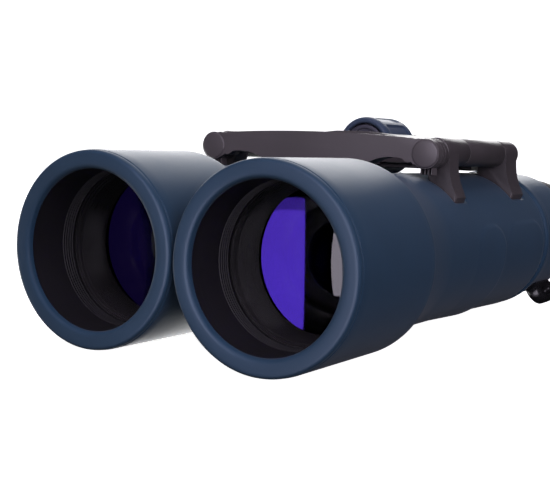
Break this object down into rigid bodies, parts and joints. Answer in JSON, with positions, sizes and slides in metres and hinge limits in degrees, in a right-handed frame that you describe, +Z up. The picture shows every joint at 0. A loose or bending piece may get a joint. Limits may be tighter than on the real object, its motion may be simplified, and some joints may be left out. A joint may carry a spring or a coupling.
{
  "type": "binoculars",
  "caption": "Roof-prism binoculars with blue armour, deep objective hoods, a two-hinge bridge over the barrels, a central focus wheel and twist-up eyecups.",
  "frame": {"origin": "under the middle of the folded binoculars, at the height of the hoods' lowest point", "axes": "+Y along the barrels from objectives to eyepieces, +Z up from the barrels to the bridge, +X to the user's left"},
  "size_m": [0.1146, 0.211, 0.0711],
  "materials": {
    "blue_armour": "matt moulded rubber, dark blue",
    "blue_grip": "matt moulded rubber, dark blue",
    "black_chassis": "satin black paint",
    "black_bore": "black anodised",
    "black_body": "fine-textured black",
    "black_rubber": "soft black rubber",
    "black_bridge": "satin black paint",
    "dark_grey_plastic": "dark grey, satin",
    "black_lug": "satin black",
    "coated_glass": "violet anti-reflection coating",
    "clear_glass": "polished",
    "steel": "ground",
    "brass": "machined"
  },
  "bodies": {
    "bridge": {"front_arm": "black_bridge", "bridge_housing": "black_bridge", "bridge_cover": "black_bridge", "arm_screw_left": "steel", "arm_screw_right": "steel", "hinge_pin_left": "steel", "hinge_pin_right": "steel", "hinge_bush_left": "black_bridge", "hinge_bush_right": "black_bridge"},
    "focus_wheel": {"focus_wheel": "dark_grey_plastic", "focus_grip": "blue_grip", "focus_cap": "dark_grey_plastic", "focus_spindle": "steel"},
    "focus_yoke": {"focus_yoke": "brass", "focus_rod_left": "steel", "focus_rod_right": "steel"},
    "barrel_left": {"barrel_chassis_left": "black_chassis", "objective_tube_left": "black_bore", "barrel_seal_left": "black_rubber", "objective_crown_left": "coated_glass", "objective_flint_left": "clear_glass", "objective_ring_left": "black_bore", "front_armour_left": "blue_armour", "rear_armour_left": "blue_armour", "strap_lug_left": "black_lug", "ocular_body_left": "black_body", "prism_cell_left": "black_bore", "half_prism_left": "clear_glass", "roof_prism_left": "clear_glass", "ocular_cell_left": "black_body", "field_lens_left": "clear_glass", "eye_lens_left": "coated_glass", "ocular_collar": "black_body"},
    "barrel_right": {"barrel_chassis_right": "black_chassis", "objective_tube_right": "black_bore", "barrel_seal_right": "black_rubber", "objective_crown_right": "coated_glass", "objective_flint_right": "clear_glass", "objective_ring_right": "black_bore", "front_armour_right": "blue_armour", "rear_armour_right": "blue_armour", "strap_lug_right": "black_lug", "ocular_body_right": "black_body", "prism_cell_right": "black_bore", "half_prism_right": "clear_glass", "roof_prism_right": "clear_glass"},
    "dioptre_ring": {"dioptre_ring": "black_body"},
    "ocular_right": {"ocular_cell_right": "black_body", "field_lens_right": "clear_glass", "eye_lens_right": "coated_glass"},
    "focus_carrier_left": {"focus_carrier_left": "black_bore", "focusing_lens_left": "clear_glass"},
    "eyecup_ring_left": {"eyecup_ring_left": "black_bore"},
    "eyecup_left": {"eyecup_left": "black_rubber"},
    "focus_carrier_right": {"focus_carrier_right": "black_bore", "focusing_lens_right": "clear_glass"},
    "eyecup_ring_right": {"eyecup_ring_right": "black_bore"},
    "eyecup_right": {"eyecup_right": "black_rubber"}
  },
  "joints": [
    {"name": "barrel_left_hinge", "type": "hinge", "parent": "bridge", "child": "barrel_left", "pos_m": [0.03915, 0.0045, 0.0592], "axis": [0, -1, 0], "range_deg": [0, 15]},
    {"name": "barrel_right_hinge", "type": "hinge", "parent": "bridge", "child": "barrel_right", "pos_m": [-0.03915, 0.0045, 0.0592], "axis": [0, 1, 0], "range_deg": [0, 15]},
    {"name": "focus_turn", "type": "hinge", "parent": "bridge", "child": "focus_wheel", "pos_m": [0, 0.0153, 0.0609], "axis": [0, 1, 0], "range_deg": [-225, 225]},
    {"name": "focus_yoke_slide", "type": "slide", "parent": "bridge", "child": "focus_yoke", "axis": [0, 1, 0], "range_m": [-0.002, 0.002]},
    {"name": "focus_left_slide", "type": "slide", "parent": "barrel_left", "child": "focus_carrier_left", "axis": [0, 1, 0], "range_m": [-0.002, 0.002]},
    {"name": "focus_right_slide", "type": "slide", "parent": "barrel_right", "child": "focus_carrier_right", "axis": [0, 1, 0], "range_m": [-0.002, 0.002]},
    {"name": "dioptre_turn", "type": "hinge", "parent": "barrel_right", "child": "dioptre_ring", "pos_m": [-0.02875, 0.0861, 0.0286], "axis": [0, 1, 0], "range_deg": [-40, 40]},
    {"name": "dioptre_slide", "type": "slide", "parent": "barrel_right", "child": "ocular_right", "axis": [0, 1, 0], "range_m": [-0.001, 0.001]},
    {"name": "eyecup_left_turn", "type": "hinge", "parent": "barrel_left", "child": "eyecup_ring_left", "pos_m": [0.02875, 0.0945, 0.0286], "axis": [0, 1, 0], "range_deg": [0, 90]},
    {"name": "eyecup_left_rise", "type": "slide", "parent": "eyecup_ring_left", "child": "eyecup_left", "axis": [0, 1, 0], "range_m": [0, 0.008]},
    {"name": "eyecup_right_turn", "type": "hinge", "parent": "barrel_right", "child": "eyecup_ring_right", "pos_m": [-0.02875, 0.0945, 0.0286], "axis": [0, 1, 0], "range_deg": [0, 90]},
    {"name": "eyecup_right_rise", "type": "slide", "parent": "eyecup_ring_right", "child": "eyecup_right", "axis": [0, 1, 0], "range_m": [0, 0.008]}
  ],
  "couplings": [
    {"joint": "focus_turn", "follows": "focus_yoke_slide", "rad_per_m": 1963.5},
    {"joint": "focus_left_slide", "follows": "focus_yoke_slide", "ratio": 1},
    {"joint": "focus_right_slide", "follows": "focus_yoke_slide", "ratio": 1},
    {"joint": "dioptre_turn", "follows": "dioptre_slide", "rad_per_m": 698.13},
    {"joint": "eyecup_left_rise", "follows": "eyecup_left_turn", "m_per_rad": 0.005093},
    {"joint": "eyecup_right_rise", "follows": "eyecup_right_turn", "m_per_rad": 0.005093}
  ]
}
